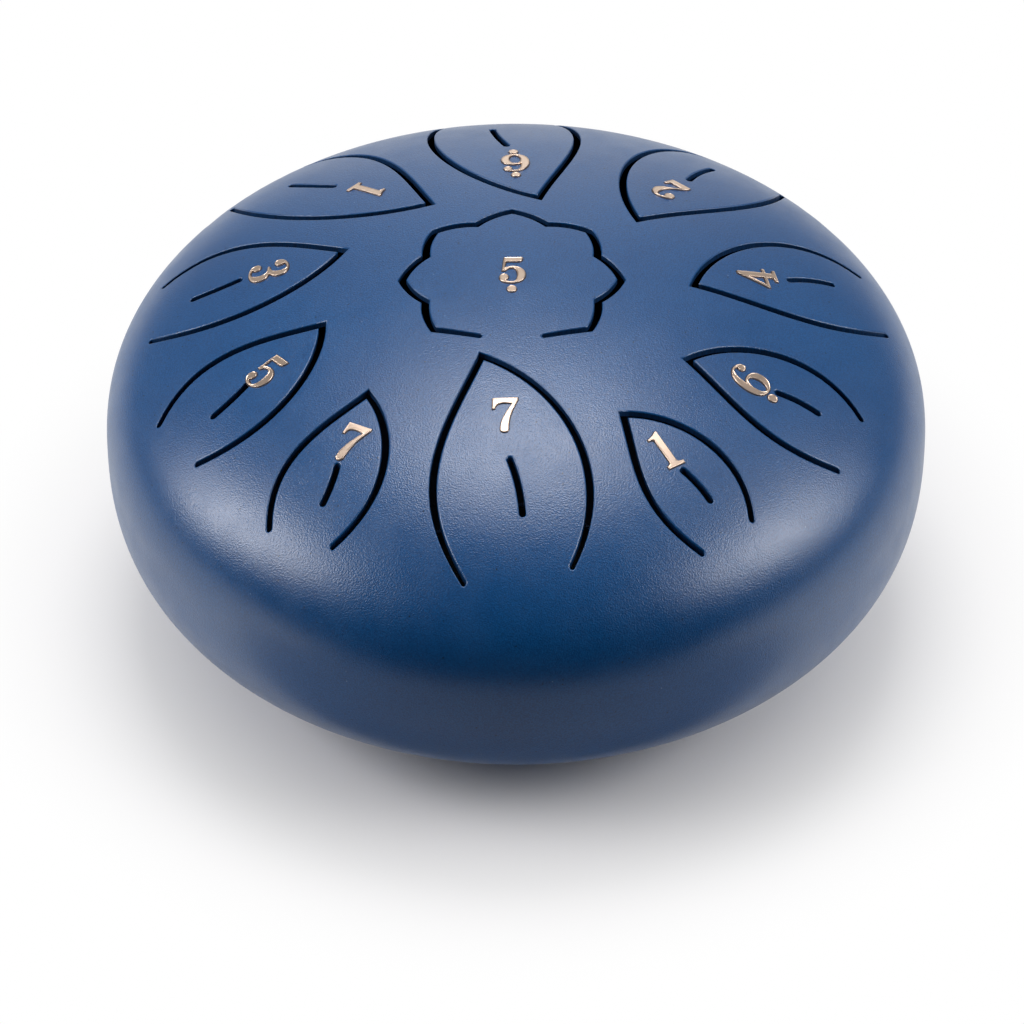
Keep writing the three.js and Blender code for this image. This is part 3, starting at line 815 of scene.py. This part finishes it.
def runs_left(loop):
    return ((loop.conj() * np.roll(loop, -1)).imag).sum() > 0


def make_metal(name, node, body, loops):
    """Metal on the paint: a rounded rim, a dished face inside it and a dark line round its foot, which is
    painted contact shadow.
    """
    loops = [loop if runs_left(loop) == (i == 0) else loop[::-1] for i, loop in enumerate(loops)]
    rings = [*(METAL_BEVEL * RIM_SHARES), *(METAL_BEVEL + METAL_DISH_WIDTH * DISH_SHARES)]
    plan, triangles = triangulate(loops, METAL_SPACING, rings)
    distance, away = nearest(plan, loops)
    edge = np.concatenate([lefts(loop, closed=True) for loop in loops])
    away[:len(edge)] = edge
    distance[:len(edge)] = 0
    rise = METAL_HEIGHT - METAL_RIM
    over = 1 - np.clip(distance / METAL_BEVEL, RIM_START, 1)
    inwards = math.pi * np.clip((distance - METAL_BEVEL) / METAL_DISH_WIDTH, 0, 1)
    lift = METAL_RIM + rise * np.sqrt(1 - over**2) - METAL_DISH * (1 - np.cos(inwards)) / 2
    slope = rise / METAL_BEVEL * over / np.sqrt(1 - over**2)
    slope -= METAL_DISH * math.pi / 2 / METAL_DISH_WIDTH * np.sin(inwards)
    height, normal = dome(plan)
    gather = Gather()
    base = points_at(plan, height)
    tilted = unit(normal - slope[:, None] * level(away + (away == 0)))
    top = gather.add(base + lift[:, None] * normal, tilted)
    gather.cover(top[triangles])
    first = 0
    for loop in loops:
        rim = np.arange(first, first + len(loop))
        facing = -level(edge[rim])
        upper = gather.add(base[rim] + lift[rim, None] * normal[rim], facing)
        lower = gather.add(base[rim] - METAL_SINK * normal[rim], facing)
        gather.strips([upper, lower], closed=True)
        # The line round the foot is painted contact shadow, dark where metal meets paint
        outside = plan[rim] - LINE_WIDTH * edge[rim]
        inner = gather.add(base[rim] + LINE_RISE * normal[rim], normal[rim] + facing)
        outer = gather.add(points_at(outside, dome(outside)[0]) - LINE_SINK * normal[rim], normal[rim])
        gather.strips([inner, outer], LINE, closed=True)
        first += len(loop)
    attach(finish_piece(gather, name, "champagne_metal", node, CHAMPAGNE, CONTACT_SHADOW), body)


def make_numeral(spec, tongue):
    """The numeral's up points to the tongue's tip, and its tilt is clockwise."""
    tilt = np.exp(-1j * math.radians(spec["tilt"]))

    def place(glyph):
        return tongue.place(spec["at"]) + tongue.along * 1j * glyph * tilt

    note = spec["note"]
    loops = [place(glyph_loop(steps)) for steps in GLYPHS[spec["digit"]]]
    make_metal(f"digit_{note}", f"numeral_{note}", spec["body"], loops)
    steps = round(2 * math.pi * DOT_RADIUS / GLYPH_SPACING)
    circle = DOT_RADIUS * np.exp(2j * math.pi * np.arange(steps) / steps)
    for node, side, gap, across in DOTS.get(note, []):
        centre = complex(across * NUMERAL_HEIGHT, side * (NUMERAL_HEIGHT * (0.5 + gap) + DOT_RADIUS))
        make_metal(f"round_{node}", node, spec["body"], [place(centre + circle)])


# Feet

def make_foot(node):
    """A flat sole with a rounded edge, flaring up to the bowl that it is stuck to."""
    low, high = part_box(node)
    centre = complex(low.x + high.x, low.y + high.y) / 2 / MM
    way = np.exp(2j * math.pi * np.arange(FOOT_STEPS) / FOOT_STEPS)
    corner = FOOT_BASE_RADIUS - FOOT_EDGE
    profile = []
    for a in np.linspace(-math.pi / 2, 0, FOOT_EDGE_STEPS + 1):
        out, up = math.cos(a), math.sin(a)
        profile.append((corner + FOOT_EDGE * out, FOOT_EDGE * (1 + up), out, up))
    flare, rise = FOOT_TOP_RADIUS - FOOT_BASE_RADIUS, FOOT_FLARE_HEIGHT - FOOT_EDGE
    for share in np.linspace(0, 1, FOOT_FLARE_STEPS + 1)[1:]:
        profile.append((FOOT_BASE_RADIUS + flare * share, FOOT_EDGE + rise * share, rise, -flare))
    gather = Gather()
    rows = []
    for radius, height, out, up in profile:
        plan = centre + radius * way
        points = points_at(plan, height - EQUATOR_Z)
        rows.append(gather.add(points, out * level(way) + [0, 0, up]))
    gather.strips(rows[::-1], closed=True)
    rim = centre + FOOT_TOP_RADIUS * way
    lower = gather.add(points_at(rim, FOOT_FLARE_HEIGHT - EQUATOR_Z), level(way))
    upper = gather.add(points_at(rim, bowl_height(rim) - EQUATOR_Z), level(way))
    gather.strips([upper, lower], closed=True)
    sole = gather.add(points_at(np.array([centre]), -EQUATOR_Z), np.array([[0, 0, -1]]))
    gather.cover(np.stack([np.repeat(sole, FOOT_STEPS), np.roll(rows[0], -1), rows[0]], axis=1))
    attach(finish_piece(gather, f"pad_{node}", "black_rubber", node, RUBBER), STEM)


# Assembly

flower = TongueFrame(complex(FLOWER_SHIFT_X, 0), -math.pi / 2, LOBE_TIP_RADIUS)
tongues = [(FLOWER, flower, flower_slot(flower), [])]
for leaf in LEAVES:
    tongue = leaf_frame(leaf)
    tongues.append((leaf, tongue, leaf_slot(leaf, tongue), [leaf_slit(tongue)]))

make_dome([slot for _, _, slot, _ in tongues])
make_bowl()
make_weld()
for spec, tongue, slot, slits in tongues:
    make_tongue(spec, slot, slits)
    make_numeral(spec, tongue)
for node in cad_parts:
    if node.startswith("foot_"):
        make_foot(node)


# Studio, in metres: a white floor with a dark card in front, softboxes, weak fills and a pale backdrop

DRUM_CENTRE = Vector((0, 0, EQUATOR_Z * MM))
WHITE = (1, 1, 1, 1)

# Lamps: azimuth and elevation in degrees, distance from the drum's centre, width, height and brightness
LAMP_COLOUR = (1, 1, 1.03)
LAMPS = {
    "left_softbox": (-89, 27, 0.9, 0.28, 0.5, 6.8),
    "left_front_softbox": (-109, 36.5, 0.9, 0.3, 0.37, 6.1),
    "right_softbox": (91, 26, 0.9, 0.28, 0.46, 5.0),
    "right_front_softbox": (111, 34, 0.9, 0.3, 0.34, 6.2),
    "top_softbox": (0, 75, 1.0, 0.5, 0.4, 7.6),
    "left_fill": (-47, 22, 0.9, 0.7, 0.7, 0.24),
    "right_fill": (47, 22, 0.9, 0.7, 0.7, 0.22),
    "left_high_fill": (-81, 48, 0.9, 0.48, 0.4, 0.3),
    "right_high_fill": (81, 48, 0.9, 0.48, 0.4, 1.0),
}

# Floor: a painted shade under the sound hole turns to paper, and the paper to plain white, each
# between two distances from the drum's axis
FLOOR_HALF_WIDTH = 0.32
FLOOR_FRONT, FLOOR_BACK = -0.143, 0.6
PAPER_COLOUR = (0.84, 0.82, 0.81, 1)
PAINTED_SHADE_COLOUR = (0.02, 0.02, 0.02, 1)
SHADE_START, SHADE_END = 0.022, 0.034
FADE_START, FADE_END = 0.048, 0.112

# Dark card
FLAG_HALF_WIDTH = 0.1
FLAG_BACK = -0.063
FLAG_HEIGHT = 0.001
FLAG_COLOUR = (0.3, 0.33, 0.4, 1)

# Backdrop: a way's parts are multiplied by the stretch, and the light fades out between two lengths of that
BACKDROP_STRENGTH = 1.05
BACKDROP_STRETCH = (1.7, 0, 0.7)
BACKDROP_START, BACKDROP_END = 0.1, 0.85


def towards(azimuth, elevation):
    """The way from the drum: azimuth 0 is behind it and 90 to its right."""
    a, e = math.radians(azimuth), math.radians(elevation)
    return Vector((math.cos(e) * math.sin(a), math.cos(e) * math.cos(a), math.sin(e)))


def softbox(name, azimuth, elevation, distance, width, height, brightness):
    """An area lamp that faces the drum's centre, as bright to look at whatever its size."""
    lamp = bpy.data.lights.new(name, "AREA")
    lamp.color = LAMP_COLOUR
    lamp.shape = "RECTANGLE"
    lamp.size, lamp.size_y = width, height
    lamp.energy = brightness * math.pi * width * height
    made = bpy.data.objects.new(name, lamp)
    way = towards(azimuth, elevation)
    made.location = DRUM_CENTRE + way * distance
    made.rotation_euler = way.to_track_quat("Z", "Y").to_euler()
    bpy.context.scene.collection.objects.link(made)


def flat_sheet(name, half_width, front, back, height):
    mesh = bpy.data.meshes.new(name)
    corners = [(-half_width, front), (half_width, front), (half_width, back), (-half_width, back)]
    mesh.from_pydata([(x, y, height) for x, y in corners], [], [(0, 1, 2, 3)])
    made = bpy.data.objects.new(name, mesh)
    bpy.context.scene.collection.objects.link(made)
    return made


def make_floor():
    """White paper with a painted shade under the sound hole: near the drum it shows its own light and
    shadow, and further off it fades to white.
    """
    floor = flat_sheet("studio_floor", FLOOR_HALF_WIDTH, FLOOR_FRONT, FLOOR_BACK, 0)
    material, tree, shader, place = start_material("white_paper", Roughness=0.9, Specular_IOR_Level=0.1)
    away = length_of(tree, place)
    # Painted shade: the paper is dark near the axis, under the drum, where it shows through the sound hole
    clear = remap(tree, away, SHADE_START, SHADE_END)
    tree.links.new(blend_colours(tree, clear, PAINTED_SHADE_COLOUR, PAPER_COLOUR), shader.inputs["Base Color"])
    far = remap(tree, away, FADE_START, FADE_END, kind="SMOOTHSTEP")
    path = tree.nodes.new("ShaderNodeLightPath").outputs
    by_gloss_or_glass = math_node(tree, "MAXIMUM", path["Is Glossy Ray"], path["Is Transmission Ray"])
    seen = math_node(tree, "MAXIMUM", path["Is Camera Ray"], by_gloss_or_glass)
    white = add_node(tree, "ShaderNodeEmission", {"Color": WHITE, "Strength": 1.0})
    mix = add_node(tree, "ShaderNodeMixShader", {
        0: math_node(tree, "MULTIPLY", far, seen), 1: shader.outputs[0], 2: white.outputs[0],
    })
    tree.links.new(mix.outputs[0], tree.nodes["Material Output"].inputs["Surface"])
    floor.data.materials.append(material)


def make_flag():
    """A dark card in front of the drum, seen only in its gloss, that keeps its front side dark."""
    flag = flat_sheet("studio_flag", FLAG_HALF_WIDTH, FLOOR_FRONT, FLAG_BACK, FLAG_HEIGHT)
    material = start_material("dark_card", Base_Color=FLAG_COLOUR, Roughness=0.9)[0]
    flag.data.materials.append(material)
    flag.visible_camera = False
    flag.visible_diffuse = False
    flag.visible_shadow = False


def make_world():
    """Plain white to the eye. As light, a pale backdrop behind the drum and a dark room in front of it."""
    world = bpy.data.worlds.new("studio")
    bpy.context.scene.world = world
    world.use_nodes = True
    tree = world.node_tree
    backdrop = tree.nodes["Background"]
    backdrop.inputs["Color"].default_value = WHITE
    way = tree.nodes.new("ShaderNodeTexCoord").outputs["Generated"]
    off_centre = length_of(tree, stretch(tree, way, BACKDROP_STRETCH))
    strength = remap(tree, off_centre, BACKDROP_START, BACKDROP_END, BACKDROP_STRENGTH, 0.0, "SMOOTHSTEP")
    backwards = add_node(tree, "ShaderNodeSeparateXYZ", {0: way}).outputs["Y"]
    behind = math_node(tree, "GREATER_THAN", backwards, 0.0)
    tree.links.new(math_node(tree, "MULTIPLY", strength, behind), backdrop.inputs["Strength"])
    white = add_node(tree, "ShaderNodeBackground", {"Color": WHITE, "Strength": 1.0})
    path = tree.nodes.new("ShaderNodeLightPath").outputs
    seen = math_node(tree, "MAXIMUM", path["Is Camera Ray"], path["Is Transmission Ray"])
    mix = add_node(tree, "ShaderNodeMixShader", {0: seen, 1: backdrop.outputs[0], 2: white.outputs[0]})
    tree.links.new(mix.outputs[0], tree.nodes["World Output"].inputs["Surface"])


for name, lamp in LAMPS.items():
    softbox(name, *lamp)
make_floor()
make_flag()
make_world()

# Camera: a long lens from the player's side, aimed a little below the drum's centre

CAMERA_ELEVATION = 40.4
CAMERA_DISTANCE = 1.24
CAMERA_LENS = 229.8
CAMERA_SENSOR = 36
CAMERA_NEAR, CAMERA_FAR = 0.05, 20
CAMERA_AIM = Vector((-0.00076, -0.0109, 0.028))

camera_data = bpy.data.cameras.new("camera")
camera_data.lens = CAMERA_LENS
camera_data.sensor_width = CAMERA_SENSOR
camera_data.clip_start, camera_data.clip_end = CAMERA_NEAR, CAMERA_FAR
camera = bpy.data.objects.new("camera", camera_data)
camera.location = DRUM_CENTRE + towards(180, CAMERA_ELEVATION) * CAMERA_DISTANCE
camera.rotation_mode = "QUATERNION"
camera.rotation_quaternion = (CAMERA_AIM - camera.location).to_track_quat("-Z", "Y")
bpy.context.scene.collection.objects.link(camera)
bpy.context.scene.camera = camera
bpy.context.scene.view_settings.view_transform = "Standard"
